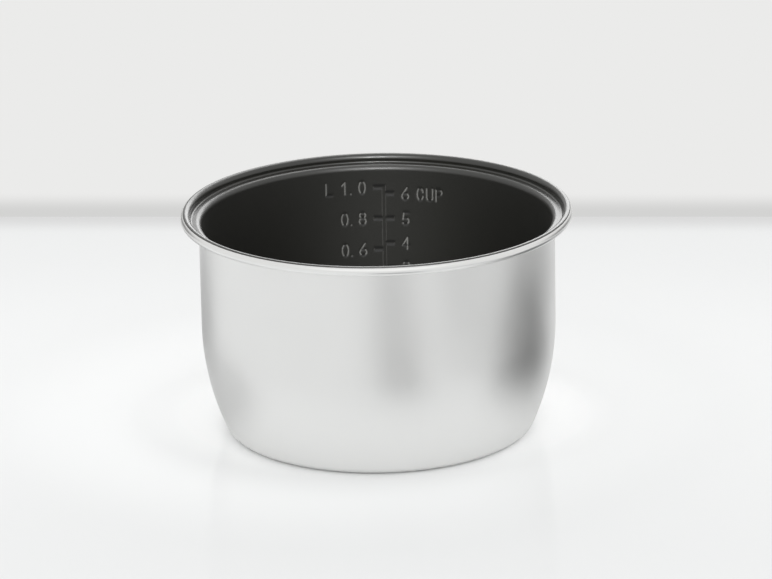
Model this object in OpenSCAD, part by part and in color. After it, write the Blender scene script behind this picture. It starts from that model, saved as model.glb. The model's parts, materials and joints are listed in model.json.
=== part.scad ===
// Inner cooking pot of a rice cooker: one deep-drawn aluminium shell with a lid ledge and a curled rim,
// and the black non-stick coat on its inside, with the water-level scale coined into it.
// Millimetres, +Z up. The origin is at the centre of the flat base, on the surface the pot stands on.

/* [Pot] */
// Outside diameter of the straight wall
pot_d = 178.4; // [165:0.1:195]
// Height of the pot over the rim, with its coat
pot_h = 114; // [106:0.5:130]
// Thickness of the aluminium in the wall and the rim
wall_t = 1.2; // [0.9:0.1:1.5]
// Thickness of the aluminium in the base
base_t = 1.6; // [1.5:0.1:3]

/* [Lower curve] */
// Radius of the long curve that leads the wall down to the base
belly_r = 130; // [110:1:150]
// How far that curve turns before the base corner takes over, in degrees
belly_turn = 23.5; // [18:0.5:27]
// Outside radius of the corner between the curve and the flat base
corner_r = 6; // [4:0.5:10]

/* [Rim] */
// How far the curled rim stands out from the wall
rim_overhang = 9.1; // [8.8:0.1:12]
// Outside radius of the curled edge
curl_r = 2.3; // [2:0.1:2.6]
// How far the edge is curled round, from the riser over the top, in degrees
curl_turn = 285; // [200:5:290]
// Depth of the lid ledge below the top of the rim
ledge_depth = 4.4; // [4.2:0.1:8]
// Radius where the wall rolls out onto the ledge, on the coat
roll_r = 2.8; // [2.2:0.1:3]
// Radius in the corner between the ledge and the riser, on the coat
ledge_corner_r = 0.9; // [0.5:0.1:1]

/* [Non-stick coat] */
// Thickness of the coat
coat_t = 0.3; // [0.25:0.01:0.4]
// How far the coat reaches past the top of the rim, in degrees round the curl
coat_wrap = 27; // [0:1:60]

/* [Scale] */
// Rice and water that each cup adds, in millilitres
cup_fill = 326; // [300:2:335]
// Water that the first cup takes on top of that, in millilitres
first_fill = 172; // [120:5:200]
// Rice in one cup, in litres
cup_litres = 0.16; // [0.155:0.005:0.18]
// Depth of the coined marks
mark_depth = 0.2; // [0.1:0.01:0.22]
// Width of the strokes in the figures and letters
stroke_w = 1; // [0.7:0.1:1.2]
// Height of the figures and letters
figure_h = 7.3; // [6.5:0.1:8]
// Width of the figures and letters
figure_w = 4.2; // [3.8:0.1:4.4]
// Width of the upright bar of the scale
bar_w = 1.6; // [1:0.1:2.5]
// Height of the level lines
line_h = 1.8; // [1:0.1:2.4]
// Reach of the level lines from the middle of the bar
line_reach = 5.5; // [4:0.1:7]
// Distance from the bar to the middle of the figures next to it
figure_gap = 11.2; // [10.5:0.1:13]
// Distance from those figures to the figures in front of the decimal point
figure_step = 9.4; // [9:0.1:11]
// Distance from the middle of one letter of a word to the next
letter_step = 5.1; // [5:0.1:6]
// Space between a figure and the word that follows it
word_gap = 8; // [7:0.1:10]

/* [Hidden] */
$fn = 180;

// Wall, belly curve and base corner, each tangent to the next
wall_r = pot_d / 2;
belly_z = belly_r * sin(belly_turn) + corner_r * (1 - sin(belly_turn));
belly_x = wall_r - belly_r;
corner_x = belly_x + (belly_r - corner_r) * cos(belly_turn);
// The inside is lifted where the base is thicker than the wall
base_lift = base_t - wall_t;

// Rim, from the wall outwards; the aluminium's own radii lie one coat inside those on the coat
wall_in = wall_r - wall_t;
roll_in = roll_r - coat_t;
corner_in = ledge_corner_r + coat_t;
curl_x = wall_r + rim_overhang - curl_r;
curl_z = pot_h - coat_t - curl_r;
riser_in = curl_x - curl_r;
ledge_z = pot_h - ledge_depth - coat_t;
roll_z = ledge_z - roll_in;
ledge_x = wall_in + roll_in;
ledge_w = riser_in - corner_in - ledge_x;
riser_z = ledge_z + corner_in;

// Radius of the coat's face on the straight wall
coat_in = wall_in - coat_t;

// Levels that carry a line and a figure; a unit's name stands beside the highest of each
cup_marks = [1, 2, 3, 4, 5, 6];
litre_marks = [0.2, 0.4, 0.6, 0.8, 1.0];

// Places of the figures, as distances along the wall from the bar
unit_at = -(figure_gap + figure_step + word_gap);
ones_at = -(figure_gap + figure_step);
point_share = 0.63; // of the way from the tenths to the ones
point_at = -(figure_gap + figure_step * point_share);
tenths_at = -figure_gap;
cups_at = figure_gap;
word_at = figure_gap + word_gap;

// Half sizes of a figure, to the middle of its stroke
fx = (figure_w - stroke_w) / 2;
fy = (figure_h - stroke_w) / 2;
// Radius of the bowls of 5, 6 and 8, a little wider than the other figures
bowl_r = 1.06 * fx;
// Radius of the ends of an oval figure, as a share of its width
oval_end = 0.36;
// Diameter of the decimal point
point_d = 1.1 * stroke_w;
// Share of the height of a C that stays open
c_gap = 0.35;

// Inside radius of the coated pot at height z, below the rolled edge
function inner_r(z) =
    let (inset = wall_t + coat_t, h = z - base_lift, arc_r = belly_r - inset, end_r = corner_r - inset)
    h >= belly_z ? wall_r - inset
    : h >= corner_r - end_r * sin(belly_turn) ? belly_x + sqrt(arc_r ^ 2 - (belly_z - h) ^ 2)
    : corner_x + sqrt(max(0, end_r ^ 2 - (corner_r - h) ^ 2));

// Millilitres that the pot holds up to each height, as pairs of volume and height. They are added up
// in level slices of this height, from the floor to the ledge.
slice = 0.5;
floor_z = base_t + coat_t;
function fills(z = floor_z, ml = 0) =
    z > ledge_z ? [[ml, z]]
    : concat([[ml, z]], fills(z + slice, ml + PI * inner_r(z + slice / 2) ^ 2 * slice / 1000));
fill_table = fills();

// Height that a number of cups of rice, with its water, comes up to
function level(cups) = lookup(first_fill + cups * cup_fill, fill_table);

// ---- Half-sections, drawn with X as the radius ----

// Points along an arc, close enough together that no chord leaves it by more than chord_error
chord_error = 0.01;
function arc_points(centre, r, from, to) =
    let (n = ceil(abs(to - from) / (2 * acos(1 - chord_error / r))))
    [for (i = [0:n]) let (a = from + (to - from) * i / n) centre + r * [cos(a), sin(a)]];

// Outside of the pot, from the middle of the base up to the inside of the curl
outside_path = concat(
    [[0, 0]],
    arc_points([corner_x, corner_r], corner_r, -90, -belly_turn),
    arc_points([belly_x, belly_z], belly_r, -belly_turn, 0),
    arc_points([ledge_x, roll_z], roll_in - wall_t, 180, 90),
    arc_points([riser_in - corner_in, riser_z], corner_in + wall_t, 270, 360),
    arc_points([curl_x, curl_z], curl_r - wall_t, 180, 180 - curl_turn)
);

// Straight wall and belly curve, on a face that lies inset inside the aluminium's inner face
function wall_path(inset) = concat(
    [[wall_in - inset, roll_z]],
    arc_points([belly_x, belly_z + base_lift], belly_r - wall_t - inset, 0, -belly_turn)
);

// All of that face, from the edge of the coat on the curl to the middle of the base
function inside_path(inset) = concat(
    arc_points([curl_x, curl_z], curl_r + inset, 90 - coat_wrap, 180),
    arc_points([riser_in - corner_in, riser_z], corner_in - inset, 360, 270),
    arc_points([ledge_x, roll_z], roll_in + inset, 90, 180),
    wall_path(inset),
    arc_points([corner_x, corner_r + base_lift], corner_r - wall_t - inset, -belly_turn, -90),
    [[0, base_t + inset]]
);

function reversed(points) = [for (i = [len(points) - 1:-1:0]) points[i]];

module shell_section() {
    polygon(concat(
        outside_path,
        arc_points([curl_x, curl_z], curl_r, 180 - curl_turn, 90 - coat_wrap),
        inside_path(0)
    ));
}

module coat_section() {
    polygon(concat(inside_path(0), reversed(inside_path(coat_t))));
}

// ---- Figures and letters, each about its own middle ----

// Straight stroke with round ends
module stroke(a, b) {
    translate(a) circle(d = stroke_w, $fn = 24);
    translate(b) circle(d = stroke_w, $fn = 24);
    translate(a) rotate(atan2(b.y - a.y, b.x - a.x))
        translate([0, -stroke_w / 2]) square([norm(b - a), stroke_w]);
}

// Curved stroke with round ends
module arc(centre, r, from, to) {
    translate(centre) intersection() {
        difference() {
            circle(r = r + stroke_w / 2, $fn = 48);
            circle(r = r - stroke_w / 2, $fn = 48);
        }
        polygon(concat([[0, 0]], [for (i = [0:6]) let (a = from + (to - from) * i / 6)
            [2 * (r + stroke_w) * cos(a), 2 * (r + stroke_w) * sin(a)]]));
    }
    for (a = [from, to])
        translate(centre + r * [cos(a), sin(a)]) circle(d = stroke_w, $fn = 24);
}

module ring(centre, r) {
    translate(centre) difference() {
        circle(r = r + stroke_w / 2, $fn = 48);
        circle(r = r - stroke_w / 2, $fn = 48);
    }
}

// Upright oval of four arcs, filled
module oval(w, h) {
    end_r = w * oval_end;
    end_y = h / 2 - end_r;
    side_r = ((w / 2) ^ 2 + end_y ^ 2 - end_r ^ 2) / (w - 2 * end_r);
    join_y = end_y * side_r / (side_r - end_r);
    intersection() {
        translate([side_r - w / 2, 0]) circle(r = side_r);
        translate([w / 2 - side_r, 0]) circle(r = side_r);
        translate([-w / 2, -join_y]) square([w, 2 * join_y]);
    }
    for (y = [-end_y, end_y])
        translate([0, y]) circle(r = end_r, $fn = 48);
}

module oval_ring() {
    difference() {
        oval(figure_w, figure_h);
        oval(figure_w - 2 * stroke_w, figure_h - 2 * stroke_w);
    }
}

module figure(n) {
    if (n == 0) oval_ring();
    if (n == 1) {
        stroke([fx / 4, -fy], [fx / 4, fy]);
        stroke([fx / 4, fy], [-fx * 0.7, fy * 0.5]);
    }
    if (n == 2) {
        arc([0, fy - fx], fx, -35, 170);
        stroke([fx * cos(35), fy - fx - fx * sin(35)], [-fx, -fy]);
        stroke([-fx, -fy], [fx, -fy]);
    }
    if (n == 3) {
        arc([0, fy / 2], fy / 2, -90, 150);
        arc([0, -fy / 2], fy / 2, -150, 90);
    }
    if (n == 4) {
        stroke([fx / 2, -fy], [fx / 2, fy]);
        stroke([fx / 2, fy], [-fx, -fy / 3]);
        stroke([-fx, -fy / 3], [fx, -fy / 3]);
    }
    if (n == 5) {
        stroke([-fx * 0.5, fy], [fx, fy]);
        stroke([-fx * 0.5, fy], [-bowl_r * cos(40), -fy + bowl_r + bowl_r * sin(40)]);
        arc([0, -fy + bowl_r], bowl_r, -145, 140);
    }
    if (n == 6) {
        ring([0, -fy + bowl_r], bowl_r);
        stroke([fx * 0.6, fy], [-bowl_r * cos(25), -fy + bowl_r + bowl_r * sin(25)]);
    }
    if (n == 8) {
        ring([0, -fy + bowl_r], bowl_r);
        ring([0, bowl_r], fy - bowl_r);
    }
}

module letter(name) {
    if (name == "L") {
        stroke([-fx, -fy], [-fx, fy]);
        stroke([-fx, -fy], [fx, -fy]);
    }
    if (name == "C") difference() {
        oval_ring();
        translate([0, -fy * c_gap]) square([figure_w, 2 * fy * c_gap]);
    }
    if (name == "U") {
        for (x = [-fx, fx]) stroke([x, fx - fy], [x, fy]);
        arc([0, fx - fy], fx, 180, 360);
    }
    if (name == "P") {
        stroke([-fx, -fy], [-fx, fy]);
        stroke([-fx, fy], [fx - fy / 2, fy]);
        stroke([-fx, 0], [fx - fy / 2, 0]);
        arc([fx - fy / 2, fy / 2], fy / 2, -90, 90);
    }
}

// ---- Scale ----

// Stands a flat drawing up at a distance along the wall from the bar and at a height, and draws it out
// from the outside of the wall halfway to the axis
module on_wall(along, z) {
    rotate([0, 0, -along / coat_in * 180 / PI])
        translate([0, wall_r, z]) rotate([90, 0, 0]) linear_extrude(wall_r / 2) children();
}

// Level line from the bar to one side: -1 for litres on the left, 1 for cups on the right
module level_line(side, z) {
    on_wall(0, z) translate([side > 0 ? 0 : -line_reach, -line_h / 2]) square([line_reach, line_h]);
}

module scale_drawing() {
    top_cups = level(max(cup_marks));
    top_litres = level(max(litre_marks) / cup_litres);
    bar_bottom = level(min(cup_marks)) - line_h / 2;
    bar_top = top_litres + line_h / 2;
    on_wall(0, bar_bottom) translate([-bar_w / 2, 0]) square([bar_w, bar_top - bar_bottom]);
    for (cups = cup_marks) {
        level_line(1, level(cups));
        on_wall(cups_at, level(cups)) figure(cups);
    }
    for (litres = litre_marks) let (z = level(litres / cup_litres), tenths = round(litres * 10)) {
        level_line(-1, z);
        on_wall(ones_at, z) figure(floor(tenths / 10));
        on_wall(point_at, z) translate([0, -fy]) circle(d = point_d, $fn = 24);
        on_wall(tenths_at, z) figure(tenths % 10);
    }
    on_wall(unit_at, top_litres) letter("L");
    for (i = [0:2])
        on_wall(word_at + i * letter_step, top_cups) letter("CUP"[i]);
}

// The scale, sunk mark_depth into the coat and following the wall's curve. The cut starts a little
// inside the pot.
module coined_scale() {
    cut_over = 1;
    intersection() {
        rotate_extrude() polygon(concat(
            wall_path(coat_t - mark_depth), reversed(wall_path(coat_t + cut_over))));
        scale_drawing();
    }
}

// ---- Sub-parts ----

module pot_shell() {
    color("#D3D6D8") rotate_extrude() shell_section();
}

module nonstick_coat() {
    color("#2B2B29") difference() {
        rotate_extrude() coat_section();
        coined_scale();
    }
}

pot_shell();
nonstick_coat();
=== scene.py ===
"""Inner pot of a rice cooker: a drawn aluminium shell, and the black non-stick coat on its inside with
a coined water-level scale. Each of the two is one half-section, drawn point by point and spun about
the pot's axis. Sizes are in metres; radii and heights are measured from the middle of the base."""

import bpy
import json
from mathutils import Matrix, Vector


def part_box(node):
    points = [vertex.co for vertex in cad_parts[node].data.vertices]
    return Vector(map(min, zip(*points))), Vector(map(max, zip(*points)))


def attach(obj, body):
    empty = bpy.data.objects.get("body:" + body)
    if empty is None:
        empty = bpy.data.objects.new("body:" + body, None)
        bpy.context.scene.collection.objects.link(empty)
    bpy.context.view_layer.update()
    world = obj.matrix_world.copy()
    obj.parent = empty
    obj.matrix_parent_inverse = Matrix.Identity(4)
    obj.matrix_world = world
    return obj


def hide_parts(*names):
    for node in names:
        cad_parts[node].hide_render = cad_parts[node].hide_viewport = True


bl_info = {
    "name": "Rice Cooker Inner Pot",
    "version": (1, 0, 0),
    "blender": (4, 5, 0),
    "location": "View3D > Sidebar > Inner Pot",
    "description": "Models a drawn aluminium inner pot with a non-stick coat and a water-level scale",
    "category": "Add Mesh",
}

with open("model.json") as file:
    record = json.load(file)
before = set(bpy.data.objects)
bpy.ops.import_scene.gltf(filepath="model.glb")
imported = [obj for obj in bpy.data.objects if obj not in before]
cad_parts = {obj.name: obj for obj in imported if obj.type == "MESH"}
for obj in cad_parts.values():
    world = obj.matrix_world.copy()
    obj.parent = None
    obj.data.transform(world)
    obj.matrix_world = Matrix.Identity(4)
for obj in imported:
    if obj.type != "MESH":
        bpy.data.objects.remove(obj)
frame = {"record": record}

import json
import math

import bmesh
import bpy
import numpy as np
from mathutils import Matrix, Vector

MM = 0.001
QUARTER = math.radians(90)

# What the frame fixes: the outside of the pot, and the faces that it meets other parts with
MOUNTS = {mount["name"]: mount for mount in frame["record"]["mounts"]}
WALL_R = MOUNTS["cooker_well"]["dims"]["r_mm"] * MM
LEDGE_Z = MOUNTS["lid_ledge"]["pos_m"][2]
RIM_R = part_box("pot_shell")[1].x
POT_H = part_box("nonstick_coat")[1].z


def linear(hex_colour):
    """The linear colour, with alpha, of an sRGB hex value such as "#D3D6D8"."""
    values = [int(hex_colour[i : i + 2], 16) / 255 for i in (1, 3, 5)]
    return [v / 12.92 if v <= 0.04045 else ((v + 0.055) / 1.055) ** 2.4 for v in values] + [1.0]


def length(name, description, default):
    """A property that holds a length."""
    return bpy.props.FloatProperty(
        name=name, description=description, default=default, min=0.0, precision=5, unit="LENGTH"
    )


def angle(name, description, degrees):
    """A property that holds an angle."""
    return bpy.props.FloatProperty(
        name=name, description=description, default=math.radians(degrees),
        subtype="ANGLE", unit="ROTATION",
    )


def colour(name, description, hex_colour):
    """A property that holds a colour."""
    return bpy.props.FloatVectorProperty(
        name=name, description=description, default=linear(hex_colour),
        size=4, subtype="COLOR", min=0.0, max=1.0,
    )


# ---- Sizes and colours that a user would change ----


class PotSizes(bpy.types.PropertyGroup):
    """Sizes of the shell and the coat."""

    wall_radius: length("Wall Radius", "Outside radius of the straight wall", WALL_R)
    rim_radius: length("Rim Radius", "Outside radius of the curled rim", RIM_R)
    height: length("Height", "Height over the rim, with the coat", POT_H)
    ledge_height: length("Ledge Height", "Height of the lid ledge, on the coat", LEDGE_Z)
    wall_thickness: length("Wall Thickness", "Aluminium in the wall and the rim", 1.2 * MM)
    base_thickness: length("Base Thickness", "Aluminium in the base", 1.6 * MM)
    coat_thickness: length("Coat Thickness", "Thickness of the non-stick coat", 0.3 * MM)
    belly_radius: length("Belly Radius", "Long curve from the wall to the base", 130 * MM)
    belly_turn: angle("Belly Turn", "How far that curve turns before the base corner", 23.5)
    corner_radius: length("Corner Radius", "Outside corner round the base", 6 * MM)
    curl_radius: length("Curl Radius", "Outside radius of the curled edge", 2.3 * MM)
    curl_turn: angle("Curl Turn", "How far the edge is curled round", 285)
    roll_radius: length("Roll Radius", "Where the wall rolls out onto the ledge, on the coat", 2.8 * MM)
    ledge_corner: length("Ledge Corner", "Corner between the ledge and the riser, on the coat", 0.9 * MM)
    coat_wrap: angle("Coat Wrap", "How far the coat reaches past the top of the rim", 27)
    coat_fade: angle("Coat Fade", "Stretch over which the coat thins out to its edge", 14)
    steps: bpy.props.IntProperty(name="Steps", description="Faces round the shell", default=288, min=64)


class ScaleSizes(bpy.types.PropertyGroup):
    """Sizes of the water-level scale."""

    first_fill: bpy.props.FloatProperty(
        name="First Fill", description="Millilitres that the first cup takes over the others",
        default=172, min=0,
    )
    cup_fill: bpy.props.FloatProperty(
        name="Cup Fill", description="Millilitres of rice and water that each cup adds",
        default=326, min=1,
    )
    cup_litres: bpy.props.FloatProperty(
        name="Cup", description="Litres of rice in one cup", default=0.16, min=0.01
    )
    mark_depth: length("Mark Depth", "How deep the marks are coined", 0.2 * MM)
    mark_flank: length("Mark Flank", "Width of the rounded side of a mark", 0.5 * MM)
    stroke_width: length("Stroke Width", "Width of the strokes", 1.0 * MM)
    figure_height: length("Figure Height", "Height of the figures and letters", 7.3 * MM)
    figure_width: length("Figure Width", "Width of the figures and letters", 4.2 * MM)
    bar_width: length("Bar Width", "Width of the upright bar", 1.6 * MM)
    line_height: length("Line Height", "Height of the level lines", 1.8 * MM)
    line_reach: length("Line Reach", "Reach of the level lines from the middle of the bar", 5.5 * MM)
    figure_gap: length("Figure Gap", "From the bar to the middle of the nearest figures", 11.2 * MM)
    figure_step: length("Figure Step", "From those to the figures before the decimal point", 9.4 * MM)
    letter_step: length("Letter Step", "From one letter of a word to the next", 5.1 * MM)
    word_gap: length("Word Gap", "Space between a figure and the word after it", 8.0 * MM)
    grid: length("Grid", "Spacing of the mesh under the scale", 0.37 * MM)
    # Painted highlight on the edges of the bar, against that on the figures
    bar_wear: bpy.props.FloatProperty(
        name="Bar Wear", description="Wear on the edges of the bar against that on the figures",
        default=0.4, min=0, max=1
    )


class PotColours(bpy.types.PropertyGroup):
    """Colours of the finishes."""

    aluminium: colour("Aluminium", "Bare bead-blasted aluminium", "#F0F0EF")
    coat: colour("Coat", "Black non-stick coat", "#191915")
    coat_fleck: colour("Coat Fleck", "Paler spots in the coat", "#272723")
    # Painted light on the scale: the paler coat on upright strokes and edges is a painted highlight, and
    # the darker coat on level strokes and edges is painted shade
    coat_thin: colour("Thin Coat", "Coat on upright strokes and edges, where it is worn thin", "#7A7A77")
    coat_thick: colour("Thick Coat", "Coat on level strokes and edges, where it lies thick", "#111111")


class Studio(bpy.types.PropertyGroup):
    """Colours of the table and the backdrop, and the camera's place."""

    table: colour("Table", "White acrylic table top", "#F7F8F8")
    table_far: colour("Table Far", "The table top to the front and the back", "#EEEFEF")
    table_near: colour("Table Near", "The table top round the pot", "#FDFEFE")
    table_rear: colour("Table Rear", "The table top where it is shaded, at its rear edge", "#DADADA")
    backdrop: colour("Backdrop", "Pale backdrop", "#EBEBEA")
    gap: colour("Gap", "Shaded strip between the table and the backdrop", "#D3D3D2")
    camera_distance: length("Camera Distance", "From the camera to the middle of the pot", 2.3182)
    camera_height_angle: angle("Camera Height", "How far the camera looks down on the pot", 18.467)
    camera_turn: angle("Camera Turn", "How far it stands round the pot from the scale's front", 2.55)
    camera_pan: angle("Camera Pan", "Turn to the left of the pot's middle", -0.099)
    camera_tilt: angle("Camera Tilt", "Turn up from the pot's middle", 0.252)
    camera_roll: angle("Camera Roll", "Roll about the line of sight", 1.111)
    focal_length: bpy.props.FloatProperty(
        name="Focal Length", description="In millimetres, on a 36 mm wide frame", default=214.43, min=1
    )


# ---- Drawing a half-section: an outline in the XZ plane, with X as the radius ----

ARC_ERROR = 0.005 * MM  # how far a chord may leave its arc
HIDDEN_ERROR = 0.04 * MM  # the same, where the coat and the aluminium touch and nobody sees the face
HOLD = 0.25 * MM  # a short step at each end of a straight stretch, which keeps its shading flat


def start_outline(name, x, z):
    """Makes a mesh that is one point, and leaves it in edit mode with the point selected."""
    bpy.ops.object.select_all(action="DESELECT")
    bpy.ops.mesh.primitive_plane_add(size=MM, location=(x, 0, z))
    piece = bpy.context.active_object
    piece.name = name
    piece.data.name = name
    bpy.ops.object.transform_apply(location=True, rotation=False, scale=False)
    bpy.ops.object.mode_set(mode="EDIT")
    bpy.ops.mesh.select_mode(type="VERT")
    bpy.ops.mesh.select_all(action="SELECT")
    bpy.ops.mesh.merge(type="CENTER")
    return piece


def outline_end():
    """Radius and height of the end that is being drawn from, which is the selected point."""
    mesh = bmesh.from_edit_mesh(bpy.context.edit_object.data)
    end = next(v for v in mesh.verts if v.select)
    return end.co.x, end.co.z


def draw_step(x, z):
    """Draws one edge to a point."""
    from_x, from_z = outline_end()
    bpy.ops.mesh.extrude_region_move(TRANSFORM_OT_translate={"value": (x - from_x, 0, z - from_z)})


def draw_line(x, z, rows=1):
    """Draws a straight stretch to a point, in equal rows, or with a short step at each end."""
    from_x, from_z = outline_end()
    run = math.hypot(x - from_x, z - from_z)
    if rows > 1:
        shares = [i / rows for i in range(1, rows + 1)]
    elif run > 3 * HOLD:
        shares = [HOLD / run, 1 - HOLD / run, 1]
    else:
        shares = [1]
    for share in shares:
        draw_step(from_x + (x - from_x) * share, from_z + (z - from_z) * share)


def draw_arc(centre_x, centre_z, turn, error=ARC_ERROR, step=None):
    """Draws an arc about a centre; a positive turn goes from the radius towards the height. Spin turns
    the other way about an axis than a rotation does."""
    from_x, from_z = outline_end()
    radius = math.hypot(from_x - centre_x, from_z - centre_z)
    step = step / radius if step else 2 * math.acos(1 - error / radius)
    steps = max(1, math.ceil(abs(turn) / step))
    bpy.ops.mesh.spin(steps=steps, angle=turn, center=(centre_x, 0, centre_z), axis=(0, 1, 0))


def spin_outline(*stretches):
    """Turns the outline about the pot's axis, in stretches of (angle, steps) that add up to a full
    turn, and closes its seam and its poles."""
    bpy.ops.mesh.select_all(action="SELECT")
    for turn, steps in stretches:
        bpy.ops.mesh.spin(steps=steps, angle=turn, center=(0, 0, 0), axis=(0, 0, -1))
    bpy.ops.mesh.select_all(action="SELECT")
    bpy.ops.mesh.remove_doubles(threshold=0.002 * MM)
    bpy.ops.mesh.normals_make_consistent(inside=False)
    bpy.ops.object.mode_set(mode="OBJECT")
    bpy.ops.object.shade_smooth()


def section_places(pot):
    """Centres, radii and heights that the two half-sections share, all on the aluminium's own faces."""
    turn_sin, turn_cos = math.sin(pot.belly_turn), math.cos(pot.belly_turn)
    wall_in = pot.wall_radius - pot.wall_thickness
    belly_x = pot.wall_radius - pot.belly_radius
    roll_r = pot.roll_radius - pot.coat_thickness
    ledge_z = pot.ledge_height - pot.coat_thickness
    corner_r = pot.ledge_corner + pot.coat_thickness
    curl_x = pot.rim_radius - pot.curl_radius
    riser_x = curl_x - pot.curl_radius
    return {
        "lift": pot.base_thickness - pot.wall_thickness,
        "wall_in": wall_in,
        "belly": (belly_x, pot.belly_radius * turn_sin + pot.corner_radius * (1 - turn_sin)),
        "base_corner_x": belly_x + (pot.belly_radius - pot.corner_radius) * turn_cos,
        "roll": (wall_in + roll_r, ledge_z - roll_r),
        "roll_r": roll_r,
        "ledge_z": ledge_z,
        "ledge_corner": (riser_x - corner_r, ledge_z + corner_r),
        "ledge_corner_r": corner_r,
        "riser_x": riser_x,
        "curl": (curl_x, pot.height - pot.coat_thickness - pot.curl_radius),
    }


def draw_upwards(pot, at, sheet, curl_turn, error):
    """Draws one side of the aluminium, from the middle of the base up to the curl, and on round it by
    curl_turn. sheet is the wall's thickness on the outside, and 0 on the side that carries the coat."""
    corner_x = at["base_corner_x"]
    belly_x, belly_z = at["belly"]
    lift = 0 if sheet else at["lift"]
    draw_line(corner_x, 0 if sheet else pot.base_thickness)
    draw_arc(corner_x, pot.corner_radius + lift, QUARTER - pot.belly_turn, error)
    draw_arc(belly_x, belly_z + lift, pot.belly_turn, error)
    draw_line(at["wall_in"] + sheet, at["roll"][1])
    draw_arc(*at["roll"], -QUARTER, error)
    draw_line(at["ledge_corner"][0], at["ledge_z"] - sheet)
    draw_arc(*at["ledge_corner"], QUARTER, error)
    draw_line(at["riser_x"] + sheet, at["curl"][1])
    draw_arc(*at["curl"], -curl_turn, error)


def draw_inside(pot, at, inset, scale_rows=None):
    """Draws the inside, from the riser under the curl to the middle of the base, on a face that lies
    inset inside the aluminium's. scale_rows is (lowest height, highest height, spacing) of the even
    rows that carry the scale."""
    corner_x, corner_z = at["ledge_corner"]
    roll_x, roll_z = at["roll"]
    belly_x, belly_z = at["belly"]
    wall_x = at["wall_in"] - inset
    error = ARC_ERROR if inset else HIDDEN_ERROR
    draw_line(at["riser_x"] - inset, corner_z)
    draw_arc(corner_x, corner_z, -QUARTER, error)
    draw_line(roll_x, at["ledge_z"] + inset)
    draw_arc(roll_x, roll_z, QUARTER, error)
    belly_z += at["lift"]
    if scale_rows:
        low, high, spacing = scale_rows
        belly_r = wall_x - belly_x
        scale_turn = math.asin((belly_z - low) / belly_r)
        draw_line(wall_x, high)
        draw_line(wall_x, belly_z, rows=round((high - belly_z) / spacing))
        draw_arc(belly_x, belly_z, -scale_turn, step=spacing)
        draw_arc(belly_x, belly_z, scale_turn - pot.belly_turn)
    else:
        draw_line(wall_x, belly_z)
        draw_arc(belly_x, belly_z, -pot.belly_turn, error)
    draw_arc(at["base_corner_x"], pot.corner_radius + at["lift"], pot.belly_turn - QUARTER, error)
    draw_line(0, pot.base_thickness + inset)


# ---- Figures and letters: strokes about the middle of each, as ("line", a, b), or as
# ("arc", centre, radius, from, to) with angles in degrees, or ("box", low, high) ----

OVAL_END = 0.36  # radius of an oval's ends, as a share of its width
BOWL = 1.06  # width of the bowls of 5, 6 and 8, as a share of the other figures
C_GAP = 0.35  # share of the height of a C that stays open
POINT_SHARE = 0.63  # where the decimal point stands between the figures beside it


def on_circle(centre, radius, degrees):
    """A point on a circle."""
    turn = math.radians(degrees)
    return centre[0] + radius * math.cos(turn), centre[1] + radius * math.sin(turn)


def path(*points):
    """Straight strokes from point to point."""
    return [("line", a, b) for a, b in zip(points, points[1:])]


def oval(x, y, gap=0.0):
    """Strokes of an upright oval of four arcs, with half sizes x and y, its right side open by gap."""
    end_r = 2 * x * OVAL_END
    end_y = y - end_r
    side_r = (x**2 + end_y**2 - end_r**2) / (2 * x - 2 * end_r)
    half = math.degrees(math.asin(end_y / (side_r - end_r)))
    cut = math.degrees(math.asin(gap / side_r))
    strokes = [
        ("arc", (0, end_y), end_r, half, 180 - half),
        ("arc", (0, -end_y), end_r, 180 + half, 360 - half),
        ("arc", (side_r - x, 0), side_r, 180 - half, 180 + half),
    ]
    if gap:
        strokes.append(("arc", (x - side_r, 0), side_r, cut, half))
        strokes.append(("arc", (x - side_r, 0), side_r, -half, -cut))
    else:
        strokes.append(("arc", (x - side_r, 0), side_r, -half, half))
    return strokes


def figure_strokes(name, x, y):
    """Strokes of one figure or letter, with half sizes x and y to the middle of the stroke."""
    bowl = BOWL * x
    low_bowl, high_bowl = (0, bowl - y), (0, bowl)
    shapes = {
        "0": oval(x, y),
        "1": path((x / 4, -y), (x / 4, y), (-x * 0.7, y / 2)),
        "2": [("arc", (0, y - x), x, -35, 170)]
        + path(on_circle((0, y - x), x, -35), (-x, -y), (x, -y)),
        "3": [("arc", (0, y / 2), y / 2, -90, 150), ("arc", (0, -y / 2), y / 2, -150, 90)],
        "4": path((x / 2, -y), (x / 2, y), (-x, -y / 3), (x, -y / 3)),
        "5": [("arc", low_bowl, bowl, -145, 140)]
        + path((x, y), (-x / 2, y), on_circle(low_bowl, bowl, 140)),
        "6": [("arc", low_bowl, bowl, 0, 360)] + path((x * 0.6, y), on_circle(low_bowl, bowl, 155)),
        "8": [("arc", low_bowl, bowl, 0, 360), ("arc", high_bowl, y - bowl, 0, 360)],
        ".": [("line", (0, -y), (0, -y))],
        "L": path((-x, y), (-x, -y), (x, -y)),
        "C": oval(x, y, gap=y * C_GAP),
        "U": path((-x, y), (-x, x - y))
        + [("arc", (0, x - y), x, 180, 360)]
        + path((x, x - y), (x, y)),
        "P": path((-x, -y), (-x, y), (x - y / 2, y))
        + [("arc", (x - y / 2, y / 2), y / 2, -90, 90)]
        + path((x - y / 2, 0), (-x, 0)),
    }
    return shapes[name]


def moved(strokes, along, up):
    """The same strokes, moved along the wall and up."""
    def move(point):
        return point[0] + along, point[1] + up

    return [
        (kind, move(first), *rest) if kind == "arc" else (kind, move(first), move(*rest))
        for kind, first, *rest in strokes
    ]


MILLILITRE = 1e-6  # in cubic metres
FILL_SLICE = 0.5 * MM  # height of the slices that the pot's volume is added up in
CUP_MARKS = (1, 2, 3, 4, 5, 6)
TENTH_MARKS = (2, 4, 6, 8, 10)  # tenths of a litre


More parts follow.
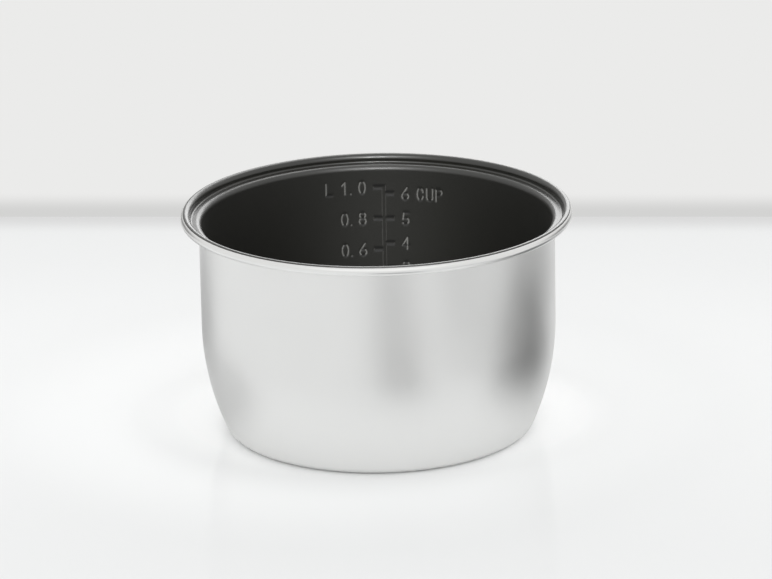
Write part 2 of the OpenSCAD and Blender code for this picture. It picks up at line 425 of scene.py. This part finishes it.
def fill_heights(pot, scale, cups):
    """Heights that numbers of cups of rice, with their water, come up to. The pot's volume is added
    up in thin level slices, from the floor to the ledge."""
    at = section_places(pot)
    inset = pot.coat_thickness
    heights = np.arange(pot.base_thickness + inset, pot.ledge_height, FILL_SLICE)
    middles = heights + FILL_SLICE / 2 - at["lift"]
    belly_x, belly_z = at["belly"]
    belly_r = at["wall_in"] - inset - belly_x
    corner_r = pot.corner_radius - pot.wall_thickness - inset
    corner_top = pot.corner_radius - corner_r * math.sin(pot.belly_turn)
    drop = np.clip(belly_z - middles, 0, None)
    radii = belly_x + np.sqrt(belly_r**2 - drop**2)
    in_corner = middles < corner_top
    dip = np.clip(pot.corner_radius - middles, None, corner_r)
    radii[in_corner] = at["base_corner_x"] + np.sqrt(corner_r**2 - dip[in_corner] ** 2)
    millilitres = np.concatenate([[0], np.cumsum(math.pi * radii**2 * FILL_SLICE / MILLILITRE)])
    heights = np.append(heights, heights[-1] + FILL_SLICE)
    fills = [scale.first_fill + n * scale.cup_fill for n in cups]
    return [float(height) for height in np.interp(fills, millilitres, heights)]


def scale_strokes(pot, scale):
    """Every stroke of the scale, by distances along the wall from the middle of the bar and heights."""
    cup_levels = fill_heights(pot, scale, CUP_MARKS)
    litre_levels = fill_heights(pot, scale, [n / 10 / scale.cup_litres for n in TENTH_MARKS])
    half_x = (scale.figure_width - scale.stroke_width) / 2
    half_y = (scale.figure_height - scale.stroke_width) / 2
    half_line, half_bar = scale.line_height / 2, scale.bar_width / 2
    ones_at = -(scale.figure_gap + scale.figure_step)
    point_at = -(scale.figure_gap + scale.figure_step * POINT_SHARE)
    word_at = scale.figure_gap + scale.word_gap

    low, high = cup_levels[0] - half_line, litre_levels[-1] + half_line
    strokes = [("box", (-half_bar, low), (half_bar, high))]
    labels = []
    for n, z in zip(CUP_MARKS, cup_levels):
        strokes.append(("box", (0, z - half_line), (scale.line_reach, z + half_line)))
        labels.append((str(n), scale.figure_gap, z))
    for n, z in zip(TENTH_MARKS, litre_levels):
        strokes.append(("box", (-scale.line_reach, z - half_line), (0, z + half_line)))
        labels += [(str(n // 10), ones_at, z), (".", point_at, z), (str(n % 10), -scale.figure_gap, z)]
    labels.append(("L", ones_at - scale.word_gap, litre_levels[-1]))
    labels += [(name, word_at + i * scale.letter_step, cup_levels[-1]) for i, name in enumerate("CUP")]
    for name, along, up in labels:
        strokes += moved(figure_strokes(name, half_x, half_y), along, up)
    return strokes


DOT_RUN = 1e-12  # stands for the square of a dot's length, which is nothing


def distance_to(stroke, along, up):
    """Distance of each point from a stroke's middle line, or from the edge of a box (inside: below 0),
    and how upright the stroke or edge is there, from 0 to 1."""
    if stroke[0] == "box":
        (x0, z0), (x1, z1) = stroke[1:]
        over_x = np.abs(along - (x0 + x1) / 2) - (x1 - x0) / 2
        over_z = np.abs(up - (z0 + z1) / 2) - (z1 - z0) / 2
        outside = np.hypot(np.clip(over_x, 0, None), np.clip(over_z, 0, None))
        return outside + np.clip(np.maximum(over_x, over_z), None, 0), (over_x > over_z).astype(float)
    if stroke[0] == "line":
        (x0, z0), (x1, z1) = stroke[1:]
        run = max((x1 - x0) ** 2 + (z1 - z0) ** 2, DOT_RUN)
        share = np.clip(((along - x0) * (x1 - x0) + (up - z0) * (z1 - z0)) / run, 0, 1)
        upright = math.sqrt(1 - (x1 - x0) ** 2 / run)
        distance = np.hypot(along - x0 - share * (x1 - x0), up - z0 - share * (z1 - z0))
        return distance, np.full(len(along), upright)
    (x, z), radius, start, end = stroke[1:]
    angles = np.degrees(np.arctan2(up - z, along - x))
    on_arc = (angles - start) % 360 <= end - start
    to_arc = np.abs(np.hypot(along - x, up - z) - radius)
    to_ends = [
        np.hypot(along - x - radius * math.cos(a), up - z - radius * math.sin(a))
        for a in (math.radians(start), math.radians(end))
    ]
    return np.where(on_arc, to_arc, np.minimum(*to_ends)), np.abs(np.cos(np.radians(angles)))


SLANTED, UPRIGHT = 0.2, 0.7  # how upright a stroke is when that starts to count, and counts in full
LEVEL_FLANK = 4  # how many times as gently level edges slope as upright ones
HIGHLIGHT_BAND = 5 / 12  # share of a stroke's width, in from its edge, over which the painted highlight grows


def mark_weights(pot, scale, points):
    """How far each point of the coat's face is pressed in, from 0 to 1, and how much painted light it
    gets: from
    1, a painted highlight, on upright strokes and on the upright edges of the bar, to -1, painted shade,
    on level ones."""
    face_r = section_places(pot)["wall_in"] - pot.coat_thickness
    along = np.arctan2(points[:, 0], points[:, 1]) * face_r
    up = points[:, 2]
    nearest = np.full(len(points), np.inf)
    upright = np.zeros(len(points))
    on_box = np.zeros(len(points), dtype=bool)
    for stroke in scale_strokes(pot, scale):
        distance, stroke_upright = distance_to(stroke, along, up)
        if stroke[0] != "box":
            distance -= scale.stroke_width / 2
        closer = distance < nearest
        nearest[closer] = distance[closer]
        upright[closer] = stroke_upright[closer]
        on_box[closer] = stroke[0] == "box"
    upright = np.clip((upright - SLANTED) / (UPRIGHT - SLANTED), 0, 1)
    flank = scale.mark_flank * (LEVEL_FLANK + (1 - LEVEL_FLANK) * upright)
    share = np.clip(0.5 - nearest / flank, 0, 1)
    pressed = share * share * (3 - 2 * share)
    on_edge = 4 * pressed * (1 - pressed)
    in_stroke = np.clip(-nearest / (HIGHLIGHT_BAND * scale.stroke_width), 0, 1)
    # Painted highlight on upright strokes and on the bar's upright edges, less painted shade on level
    # strokes and edges
    painted_highlight = np.where(on_box, scale.bar_wear * on_edge, in_stroke) * upright
    return pressed, painted_highlight - np.where(on_box, on_edge, pressed) * (1 - upright)


# ---- Finishes. A Mix node's inputs 0, 6 and 7 are its share and its two colours, and its output 2
# is the mixed colour ----

WHITE = linear("#FFFFFF")
PAINTED_LIGHT_ATTRIBUTE = "thin_coat"  # attribute: 1 where a painted highlight lightens the coat, and -1 where painted shade darkens it


def add_node(tree, kind, settings=None, inputs=None):
    """Adds a node, sets its properties, and sets each input to a value or links it to a socket."""
    node = tree.nodes.new("ShaderNode" + kind)
    for name, value in (settings or {}).items():
        setattr(node, name, value)
    for name, value in (inputs or {}).items():
        if isinstance(value, bpy.types.NodeSocket):
            tree.links.new(value, node.inputs[name])
        else:
            node.inputs[name].default_value = value
    return node


def new_material(name):
    """An empty material; returns it with its node tree and its coordinates."""
    made = bpy.data.materials.new(name)
    made.use_nodes = True
    made.node_tree.nodes.clear()
    return made, made.node_tree, add_node(made.node_tree, "TexCoord").outputs


def finish_material(tree, shader):
    """Sends the shader to the material's output."""
    add_node(tree, "OutputMaterial", inputs={"Surface": shader.outputs[0]})


def finish_uneven(tree, colour, rough, height, strength, **more):
    """Finishes a material whose surface rises and falls by up to 0.01 mm with a pattern."""
    bump = add_node(
        tree, "Bump", inputs={"Height": height, "Strength": strength, "Distance": 0.01 * MM}
    )
    normal = bump.outputs["Normal"]
    shader = add_node(
        tree, "BsdfPrincipled",
        inputs={"Base Color": colour, "Roughness": rough, "Normal": normal, **more},
    )
    finish_material(tree, shader)


def bead_blasted_aluminium(colours):
    """Drawn aluminium, blasted with fine glass beads and left bare. The dents blur what it reflects
    into soft patches, and it stays a little uneven from the blasting."""
    made, tree, places = new_material("bead_blasted_aluminium")
    # Dents of 0.1 mm are too fine to show, so they are drawn 0.35 mm wide. The nozzle's passes leave
    # patches about 25 mm wide
    dents, passes = (
        add_node(
            tree, "TexNoise",
            inputs={"Vector": places["Object"], "Scale": 1 / width, "Detail": detail},
        ).outputs["Fac"]
        for width, detail in ((0.35 * MM, 2.0), (25 * MM, 1.0))
    )
    rough = add_node(
        tree, "MapRange",
        inputs={
            "Value": passes, "From Min": 0.3, "From Max": 0.7, "To Min": 0.36, "To Max": 0.40
        },
    )
    finish_uneven(tree, colours.aluminium, rough.outputs["Result"], dents, 0.25, Metallic=1.0)
    return made


def rolled_aluminium(colours):
    """The curled edge: the same aluminium, pressed smoother by the roller that curled it, so that it
    has a tighter highlight with fine lines running round the rim."""
    made, tree, places = new_material("rolled_aluminium")
    # The roller's lines are finer than can show; they are drawn 0.25 mm apart, as rings about the axis
    x, y, z = add_node(tree, "SeparateXYZ", inputs={"Vector": places["Object"]}).outputs
    square_x = add_node(tree, "Math", {"operation": "MULTIPLY"}, {0: x, 1: x})
    squares = add_node(
        tree, "Math", {"operation": "MULTIPLY_ADD"}, {0: y, 1: y, 2: square_x.outputs[0]}
    )
    radius = add_node(tree, "Math", {"operation": "SQRT"}, {0: squares.outputs[0]})
    ring = add_node(tree, "CombineXYZ", inputs={"X": radius.outputs[0], "Z": z})
    lines = add_node(
        tree, "TexNoise",
        inputs={"Vector": ring.outputs[0], "Scale": 1 / (0.5 * MM), "Detail": 1.0},
    ).outputs["Fac"]
    rough = add_node(tree, "MapRange", inputs={"Value": lines, "To Min": 0.26, "To Max": 0.32})
    finish_uneven(tree, colours.aluminium, rough.outputs["Result"], lines, 0.2, Metallic=1.0)
    return made


def sprayed_fluoropolymer(colours):
    """Black non-stick coat, sprayed on a blasted surface and baked: satin, with a fine orange peel and
    a faint grey fleck."""
    made, tree, places = new_material("sprayed_fluoropolymer")
    # Orange peel about 0.6 mm from crest to crest, and fleck of 0.1 mm, drawn 0.4 mm wide so that it
    # shows
    peel, fleck = (
        add_node(
            tree, "TexNoise",
            inputs={"Vector": places["Object"], "Scale": 1 / width, "Detail": detail},
        ).outputs["Fac"]
        for width, detail in ((0.6 * MM, 2.0), (0.4 * MM, 3.0))
    )
    spots = add_node(
        tree, "MapRange",
        inputs={"Value": fleck, "From Min": 0.52, "From Max": 0.72, "To Min": 0.0, "To Max": 0.6},
    )
    sound = add_node(
        tree, "Mix", {"data_type": "RGBA"},
        {0: spots.outputs["Result"], 6: colours.coat, 7: colours.coat_fleck},
    )
    # Painted light on the scale: a paler coat where the attribute is above 0 is a painted highlight, and
    # a darker one where it is below 0 is painted shade
    painted_light = add_node(tree, "Attribute", {"attribute_name": PAINTED_LIGHT_ATTRIBUTE}).outputs["Fac"]
    painted_shade = add_node(
        tree, "Math", {"operation": "MULTIPLY", "use_clamp": True}, {0: painted_light, 1: -1.0}
    )
    with_painted_shade = add_node(
        tree, "Mix", {"data_type": "RGBA"},
        {0: painted_shade.outputs[0], 6: sound.outputs[2], 7: colours.coat_thick},
    )
    base = add_node(
        tree, "Mix", {"data_type": "RGBA"},
        {0: painted_light, 6: with_painted_shade.outputs[2], 7: colours.coat_thin},
    )
    # On the drawn rim the coat flows out smoother than on the blasted wall
    z = add_node(tree, "SeparateXYZ", inputs={"Vector": places["Object"]}).outputs["Z"]
    rough = add_node(
        tree, "MapRange",
        inputs={
            "Value": z, "From Min": LEDGE_Z - 3.2 * MM, "From Max": LEDGE_Z + 0.3 * MM,
            "To Min": 0.5, "To Max": 0.29,
        },
    )
    finish_uneven(tree, base.outputs[2], rough.outputs["Result"], peel, 0.3, IOR=1.7)
    return made


def white_acrylic(studio):
    """Cast acrylic sheet, opaque white and polished: it mirrors what stands on it faintly. Its places
    are measured from the middle of its rear edge, and the pot stands 0.349 in front of that."""
    made, tree, places = new_material("white_acrylic")

    def spread(x, y, start, end, width=1, depth=1):
        """Rises from 0 at start to 1 at end with the distance from a place. It spreads width times as
        far to the sides, and depth times as far to the front and the back."""
        place, size = (-x / width, -y / depth, 0), (1 / width, 1 / depth, 1)
        moved_there = add_node(
            tree, "Mapping", inputs={"Vector": places["Object"], "Location": place, "Scale": size}
        )
        distance = add_node(
            tree, "VectorMath", {"operation": "LENGTH"}, {0: moved_there.outputs["Vector"]}
        )
        return add_node(
            tree, "MapRange", {"interpolation_type": "SMOOTHSTEP"},
            {"Value": distance.outputs["Value"], "From Min": start, "From Max": end},
        ).outputs["Result"]

    # The light falls off a little to the front and to the back of the table
    even = add_node(
        tree, "Mix", {"data_type": "RGBA"},
        {0: spread(0, -0.29, 0.08, 0.28, width=2), 6: studio.table, 7: studio.table_far},
    )
    # Round the pot, what its bright side throws back makes up for its shade
    bright = add_node(
        tree, "Mix", {"data_type": "RGBA"},
        {0: spread(0, -0.335, 0.1, 0.2), 6: studio.table_near, 7: even.outputs[2]},
    )
    # The last few centimetres before the rear edge lie in the shade of the gap
    y = add_node(tree, "SeparateXYZ", inputs={"Vector": places["Object"]}).outputs["Y"]
    shade = add_node(
        tree, "MapRange", {"interpolation_type": "SMOOTHSTEP"},
        {"Value": y, "From Min": -0.032, "From Max": 0.0},
    )
    top = add_node(
        tree, "Mix", {"data_type": "RGBA"},
        {0: shade.outputs["Result"], 6: bright.outputs[2], 7: studio.table_rear},
    )
    # Painted light, seen by the camera alone: the table glows paler round the pot, in a wide patch and a
    # narrow one, each from its inner edge, where the pot's own shade starts, to its outer one
    paler = 0.0
    for strength, inner, outer in (
        (0.05, spread(0, -0.3495, 0.08, 0.12), spread(0, -0.325, 0.1, 0.18, width=1.15)),
        (
            0.145,
            spread(0.0143, -0.349, 0.07, 0.084),
            spread(0.0143, -0.335, 0.085, 0.125, depth=0.8),
        ),
    ):
        fading = add_node(
            tree, "Math", {"operation": "MULTIPLY_ADD"}, {0: outer, 1: -strength, 2: strength}
        )
        paler = add_node(
            tree, "Math", {"operation": "MULTIPLY_ADD"}, {0: fading.outputs[0], 1: inner, 2: paler}
        ).outputs[0]
    seen = add_node(tree, "LightPath").outputs["Is Camera Ray"]
    glow = add_node(tree, "Math", {"operation": "MULTIPLY"}, {0: paler, 1: seen})
    shader = add_node(
        tree, "BsdfPrincipled",
        inputs={
            "Base Color": top.outputs[2],
            "Roughness": 0.1,
            "Specular IOR Level": 0.1,
            "Emission Color": WHITE,
            "Emission Strength": glow.outputs[0],
        },
    )
    finish_material(tree, shader)
    return made


def finish_see_through(tree, share, shader):
    """Sends that share of the shader to the material's output, and leaves the rest clear."""
    clear = add_node(tree, "BsdfTransparent")
    mixed = add_node(
        tree, "MixShader", inputs={0: share, 1: clear.outputs[0], 2: shader.outputs[0]}
    )
    finish_material(tree, mixed)


def gap_shade(studio):
    """The shade between the table and the backdrop, even below and clear at the top."""
    made, tree, places = new_material("gap_shade")
    up = add_node(tree, "SeparateXYZ", inputs={"Vector": places["Generated"]}).outputs["Y"]
    fade = add_node(
        tree, "MapRange", {"interpolation_type": "SMOOTHSTEP"},
        {"Value": up, "From Min": 0.2, "From Max": 1.0, "To Min": 1.0, "To Max": 0.0},
    )
    grey = add_node(tree, "Emission", inputs={"Color": studio.gap})
    finish_see_through(tree, fade.outputs["Result"], grey)
    return made


def soft_edged_card(name, density):
    """Matt black card, as dense as density in the middle, and clear at its edges, so that they don't
    show in what reflects it, and from below, so that the table doesn't mirror it."""
    made, tree, places = new_material(name)
    centred = add_node(tree, "VectorMath", {"operation": "LENGTH"}, {0: places["Object"]})
    soft = add_node(
        tree, "MapRange", {"interpolation_type": "SMOOTHSTEP"},
        {
            "Value": centred.outputs["Value"], "From Min": 0.2, "From Max": 0.5,
            "To Min": density, "To Max": 0.0,
        },
    ).outputs["Result"]
    below = add_node(tree, "NewGeometry").outputs["Backfacing"]
    above = add_node(tree, "Math", {"operation": "SUBTRACT"}, {0: 1.0, 1: below}).outputs[0]
    cover = add_node(tree, "Math", {"operation": "MULTIPLY"}, {0: soft, 1: above})
    black = add_node(tree, "BsdfDiffuse", inputs={"Color": linear("#0A0A0A")})
    finish_see_through(tree, cover.outputs[0], black)
    return made


# ---- Operators ----


def record_piece(piece, node):
    """The piece rides on the pot's one body and stands for its CAD node."""
    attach(piece, "root")
    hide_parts(node)


SHARP_FROM = math.radians(40)  # the sheet's cut edge is sharp, and every bend is smooth


class POT_OT_drawn_shell(bpy.types.Operator):
    """Model the drawn aluminium shell with its lid ledge and curled rim"""

    bl_idname = "pot.drawn_shell"
    bl_label = "Drawn Shell"

    def execute(self, context):
        pot = context.scene.pot_sizes
        at = section_places(pot)
        piece = start_outline("drawn_shell", 0, 0)
        draw_upwards(pot, at, pot.wall_thickness, pot.curl_turn, ARC_ERROR)
        # Across the sheet's cut edge, from the inside of the curl to its outside
        end = math.pi - pot.curl_turn
        curl_x, curl_z = at["curl"]
        draw_step(curl_x + pot.curl_radius * math.cos(end), curl_z + pot.curl_radius * math.sin(end))
        draw_arc(*at["curl"], pot.curl_turn)
        draw_inside(pot, at, 0)
        spin_outline((math.tau, pot.steps))
        self.add_finishes(context, piece, curl_x - pot.curl_radius + pot.wall_thickness)
        bpy.ops.object.shade_smooth_by_angle(angle=SHARP_FROM)
        record_piece(piece, "pot_shell")
        return {"FINISHED"}

    def add_finishes(self, context, piece, curl_start):
        """The curl, which lies outside of curl_start, is smoother than the rest."""
        colours = context.scene.pot_colours
        piece.data.materials.append(bead_blasted_aluminium(colours))
        piece.data.materials.append(rolled_aluminium(colours))
        for face in piece.data.polygons:
            face.material_index = int(math.hypot(face.center.x, face.center.y) > curl_start)


SCALE_MARGIN = 1.5 * MM  # of fine mesh round the scale
PLAIN_TURN = math.radians(3.2)  # between the columns of the coat's mesh where it is plain
FEATHERED = 0.1  # share of the coat's thickness that is left at its edge
FEATHER_STEPS = 8


class POT_OT_nonstick_coat(bpy.types.Operator):
    """Model the non-stick coat with its coined water-level scale"""

    bl_idname = "pot.nonstick_coat"
    bl_label = "Non-stick Coat"

    def execute(self, context):
        pot, scale = context.scene.pot_sizes, context.scene.scale_sizes
        at = section_places(pot)
        strokes = scale_strokes(pot, scale)
        # No arc goes more than half a figure past the ends of the straight strokes
        ends = [point for stroke in strokes if stroke[0] != "arc" for point in stroke[1:3]]
        reach = max(abs(along) for along, _ in ends) + scale.figure_width / 2
        heights = [up for _, up in ends]
        face_r = at["wall_in"] - pot.coat_thickness
        half_turn = (reach + SCALE_MARGIN) / face_r
        rows = (min(heights) - SCALE_MARGIN, max(heights) + SCALE_MARGIN, scale.grid)

        piece = start_outline("inside_coat", 0, pot.base_thickness)
        draw_upwards(pot, at, 0, QUARTER + pot.coat_wrap, HIDDEN_ERROR)
        self.draw_edge(pot, at)
        draw_inside(pot, at, pot.coat_thickness, rows)
        columns = math.ceil(2 * half_turn * face_r / scale.grid)
        before = QUARTER - half_turn
        after = math.tau - before - 2 * half_turn
        spin_outline(
            (before, math.ceil(before / PLAIN_TURN)),
            (2 * half_turn, columns),
            (after, math.ceil(after / PLAIN_TURN)),
        )
        self.coin_scale(pot, scale, piece)
        piece.data.materials.append(sprayed_fluoropolymer(context.scene.pot_colours))
        record_piece(piece, "nonstick_coat")
        return {"FINISHED"}

    def draw_edge(self, pot, at):
        """Draws the coat's face back over the curl, where it grows from its feathered edge to its full
        thickness."""
        curl_x, curl_z = at["curl"]
        edge = QUARTER - pot.coat_wrap
        for i in range(FEATHER_STEPS + 1):
            share = i / FEATHER_STEPS
            turn = edge + share * pot.coat_fade
            grown = FEATHERED + (1 - FEATHERED) * math.sin(share * QUARTER)
            radius = pot.curl_radius + pot.coat_thickness * grown
            draw_step(curl_x + radius * math.cos(turn), curl_z + radius * math.sin(turn))
        draw_arc(curl_x, curl_z, QUARTER + pot.coat_wrap - pot.coat_fade)

    def coin_scale(self, pot, scale, piece):
        """Presses the scale into the coat's face with a Displace modifier, weighted by its marks."""
        mesh = piece.data
        points = np.empty(len(mesh.vertices) * 3)
        normals = np.empty(len(mesh.vertices) * 3)
        mesh.vertices.foreach_get("co", points)
        mesh.vertex_normals.foreach_get("vector", normals)
        points, normals = points.reshape(-1, 3), normals.reshape(-1, 3)
        faces_axis = (points[:, :2] * normals[:, :2]).sum(axis=1) < 0
        on_face = faces_axis & (points[:, 1] > 0)
        weights, painted_light = (np.where(on_face, values, 0) for values in mark_weights(pot, scale, points))
        # Keeps the scale's painted light for the coat's finish
        mesh.attributes.new(PAINTED_LIGHT_ATTRIBUTE, "FLOAT", "POINT").data.foreach_set("value", painted_light)
        group = piece.vertex_groups.new(name="coined")
        for i in np.flatnonzero(weights > 0):
            group.add([int(i)], float(weights[i]), "REPLACE")
        press = piece.modifiers.new("Coin Scale", "DISPLACE")
        press.vertex_group = group.name
        press.direction = "NORMAL"
        press.mid_level = 0
        press.strength = -scale.mark_depth
        bpy.ops.object.modifier_apply(modifier=press.name)


# ---- The studio. Its places are (to the right, to the back, up) from the pot's foot ----

REAR_EDGE = (0.0054, 0.3495)  # middle of the table's rear edge
REAR_TURN = math.radians(-3.72)  # turn of that edge, about the vertical
TABLE_REACH = 2.0  # half of the table's width, and of its depth
GAP_SIZE = (4.0, 0.0155)  # width and height of the shaded strip behind the table
GAP_BEHIND = 0.2 * MM  # from the rear edge to that strip

# Name, place, size, turn about the vertical in degrees, and how dense the card is
LYING_CARDS = (
    ("front_card", (0.045, -0.31), (0.17, 0.38), 0, 0.6),
    ("front_right_card", (0.27, -0.24), (0.28, 0.32), 45, 0.42),
    ("right_card", (0.242, 0.0), (0.36, 0.25), 22, 0.85),
    ("far_right_card", (0.33, 0.1), (0.34, 0.36), 30, 0.5),
    ("left_card", (-0.2, 0.17), (0.18, 0.36), 30, 0.54),
    ("near_left_card", (-0.135, 0.005), (0.15, 0.18), 30, 0.28),
)
STANDING_CARDS = (
    ("rear_left_card", (-0.73, 0.9), (1.0, 0.6), 38, 0.8),
    ("rear_right_card", (0.92, 0.74), (1.2, 0.6), -50, 0.8),
)
CARD_HEIGHT, CARD_STEP = 2 * MM, 0.5 * MM  # of the lowest lying card, and from each to the next
STANDING_HEIGHT = 0.2  # of the middle of a standing card

# Name, degrees round from the front, degrees up, distance, size and radiance
SOFTBOXES = (
    ("front_softbox", 0, 48, 1.5, (1.8, 1.4), 0.2),
    ("rear_softbox", 172, 17, 1.6, (0.7, 0.5), 3.3),
    ("rim_softbox", 0, 50, 1.5, (1.0, 0.8), 2.6),
    ("crown_softbox", 172, 48, 1.5, (0.6, 0.7), 2.1),
)
LAMP_AIM = (0, 0, 0.08)
SNOOT_AIM = (0.01, 0.088, 0.058)  # on the scale
SNOOT_DISTANCE, SNOOT_UP, SNOOT_BEAM = 1.5, math.radians(36), math.radians(4.9)
SNOOT_WATTS = 70
POT_MIDDLE = (0, 0, 0.06)
FRAME_WIDTH = 36  # in millimetres


def to_studio(studio, x, y, z):
    """A point of the studio, whose front is turned a little round the pot from the scale's."""
    return Matrix.Rotation(studio.camera_turn, 3, "Z") @ Vector((x, y, z))


def outwards(azimuth, elevation):
    """Direction out from the pot, by its angle round from the front and its angle up."""
    level = math.cos(elevation)
    return Vector((math.sin(azimuth) * level, -math.cos(azimuth) * level, math.sin(elevation)))


def add_sheet(studio, name, place, size, turn, tilt, finish):
    """A sheet of no thickness, tilted back and then turned. It throws no shadow and tints nothing round
    it.
    """
    bpy.ops.mesh.primitive_plane_add(size=1, location=(0, 0, 0))
    sheet = bpy.context.active_object
    sheet.name = name
    sheet.scale = (*size, 1)
    sheet.rotation_euler = (tilt, 0, studio.camera_turn + turn)
    sheet.location = to_studio(studio, *place)
    sheet.visible_diffuse = False
    sheet.visible_shadow = False
    sheet.data.materials.append(finish)
    return sheet


def add_lamp(studio, kind, name, aim, out):
    """A lamp, out from the place that it shines at. The camera doesn't see it."""
    aim = to_studio(studio, *aim)
    place = aim + to_studio(studio, *out)
    bpy.ops.object.light_add(type=kind, location=place)
    lamp = bpy.context.active_object
    lamp.name = name
    lamp.rotation_euler = (aim - place).to_track_quat("-Z", "Y").to_euler()
    lamp.visible_camera = False
    return lamp


class POT_OT_studio(bpy.types.Operator):
    """Set up the table, the pale backdrop, the cards, the lamps and the camera"""

    bl_idname = "pot.studio"
    bl_label = "Studio"

    def execute(self, context):
        studio = context.scene.studio
        self.add_table(studio)
        self.add_gap(studio)
        self.add_cards(studio)
        self.add_world(context, studio)
        self.add_lamps(studio)
        self.add_camera(context, studio)
        context.scene.view_settings.view_transform = "Standard"
        return {"FINISHED"}

    def add_table(self, studio):
        """A glossy white table top whose rear edge runs just behind the pot, and is its origin."""
        bpy.ops.object.select_all(action="DESELECT")
        bpy.ops.mesh.primitive_plane_add(size=2 * TABLE_REACH, location=(0, -TABLE_REACH, 0))
        table = bpy.context.active_object
        table.name = "table"
        bpy.ops.object.transform_apply(location=True)
        table.rotation_euler.z = studio.camera_turn + REAR_TURN
        table.location = to_studio(studio, *REAR_EDGE, 0)
        table.data.materials.append(white_acrylic(studio))

    def add_gap(self, studio):
        """A shaded strip that stands behind the table's rear edge and fades out upwards."""
        x, y = REAR_EDGE
        place = (x, y + GAP_BEHIND, GAP_SIZE[1] / 2)
        strip = add_sheet(studio, "gap", place, GAP_SIZE, REAR_TURN, QUARTER, gap_shade(studio))

    def add_cards(self, studio):
        """Cards round the pot that shade what the aluminium reflects. Most lie flat on the table, and
        two stand behind it, at the sides."""
        for layer, (name, (x, y), size, turn, density) in enumerate(LYING_CARDS + STANDING_CARDS):
            z, tilt = CARD_HEIGHT + CARD_STEP * layer, 0
            if layer >= len(LYING_CARDS):
                z, tilt = STANDING_HEIGHT, QUARTER
            finish = soft_edged_card(name, density)
            card = add_sheet(studio, name, (x, y, z), size, math.radians(turn), tilt, finish)
            card.visible_camera = False

    def add_world(self, context, studio):
        """Soft light from all round, and the pale backdrop where the camera or a reflection sees it."""
        world = context.scene.world or bpy.data.worlds.new("studio")
        context.scene.world = world
        world.use_nodes = True
        tree = world.node_tree
        tree.nodes.clear()
        ambient = add_node(tree, "Background", inputs={"Color": WHITE, "Strength": 1.0})
        pale = add_node(tree, "Background", inputs={"Color": studio.backdrop, "Strength": 1.0})
        rays = add_node(tree, "LightPath").outputs
        seen = rays["Is Camera Ray"]
        for ray in ("Is Glossy Ray", "Is Transmission Ray"):
            seen = add_node(tree, "Math", {"operation": "MAXIMUM"}, {0: seen, 1: rays[ray]}).outputs[0]
        shader = add_node(
            tree, "MixShader", inputs={0: seen, 1: ambient.outputs[0], 2: pale.outputs[0]}
        )
        add_node(tree, "OutputWorld", inputs={"Surface": shader.outputs[0]})

    def add_lamps(self, studio):
        """A large softbox over the front lights everything. The others light the coat alone: softboxes
        low behind the pot, over its front and high behind it for the rim, and a narrow beam that comes
        in over the front of the rim for the scale."""
        lamps = []
        for name, azimuth, elevation, far, size, radiance in SOFTBOXES:
            out = far * outwards(math.radians(azimuth), math.radians(elevation))
            lamp = add_lamp(studio, "AREA", name, LAMP_AIM, out)
            lamp.data.shape = "RECTANGLE"
            lamp.data.size, lamp.data.size_y = size
            lamp.data.energy = radiance * math.pi * size[0] * size[1]
            lamps.append(lamp)
        snoot = add_lamp(studio, "SPOT", "snoot", SNOOT_AIM, SNOOT_DISTANCE * outwards(0, SNOOT_UP))
        snoot.data.energy = SNOOT_WATTS
        snoot.data.spot_size = SNOOT_BEAM
        snoot.data.spot_blend = 1.0
        snoot.data.shadow_soft_size = 0.03
        coat = bpy.data.collections.new("lit_coat")
        coat.objects.link(bpy.data.objects["inside_coat"])
        for lamp in (*lamps[1:], snoot):
            lamp.light_linking.receiver_collection = coat

    def add_camera(self, context, studio):
        """The camera looks down on the pot from the front, from far away."""
        out = outwards(0, studio.camera_height_angle)
        forward, right = -out, Vector((1, 0, 0))
        up = right.cross(forward)
        turn = Matrix.Rotation(studio.camera_pan, 3, up)
        forward, right = turn @ forward, turn @ right
        turn = Matrix.Rotation(studio.camera_tilt, 3, right)
        forward, up = turn @ forward, turn @ up
        turn = Matrix.Rotation(studio.camera_roll, 3, forward)
        right, up = turn @ right, turn @ up
        axes = Matrix((right, up, -forward)).transposed()
        bpy.ops.object.camera_add()
        camera = bpy.context.active_object
        place = Vector(POT_MIDDLE) + out * studio.camera_distance
        whole = Matrix.Rotation(studio.camera_turn, 3, "Z") @ axes
        camera.matrix_world = Matrix.Translation(to_studio(studio, *place)) @ whole.to_4x4()
        camera.data.sensor_width = FRAME_WIDTH
        camera.data.lens = studio.focal_length
        camera.data.clip_start, camera.data.clip_end = 0.1, 20
        context.scene.camera = camera


class VIEW3D_PT_inner_pot(bpy.types.Panel):
    """Buttons and settings for the inner pot"""

    bl_label = "Inner Pot"
    bl_space_type = "VIEW_3D"
    bl_region_type = "UI"
    bl_category = "Inner Pot"

    def draw(self, context):
        layout = self.layout
        for operator in OPERATORS:
            layout.operator(operator.bl_idname)
        for settings, group in SETTINGS.items():
            box = layout.box()
            for name in group.__annotations__:
                box.prop(getattr(context.scene, settings), name)


SETTINGS = {
    "pot_sizes": PotSizes, "scale_sizes": ScaleSizes, "pot_colours": PotColours, "studio": Studio,
}
OPERATORS = (POT_OT_drawn_shell, POT_OT_nonstick_coat, POT_OT_studio)


def register():
    for cls in (*SETTINGS.values(), *OPERATORS, VIEW3D_PT_inner_pot):
        bpy.utils.register_class(cls)
    for name, group in SETTINGS.items():
        setattr(bpy.types.Scene, name, bpy.props.PointerProperty(type=group))


def unregister():
    for name in SETTINGS:
        delattr(bpy.types.Scene, name)
    for cls in reversed((*SETTINGS.values(), *OPERATORS, VIEW3D_PT_inner_pot)):
        bpy.utils.unregister_class(cls)


def main():
    """Builds the pot and its studio."""
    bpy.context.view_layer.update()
    register()
    bpy.ops.pot.drawn_shell()
    bpy.ops.pot.nonstick_coat()
    bpy.ops.pot.studio()


if __name__ == "__main__":
    main()
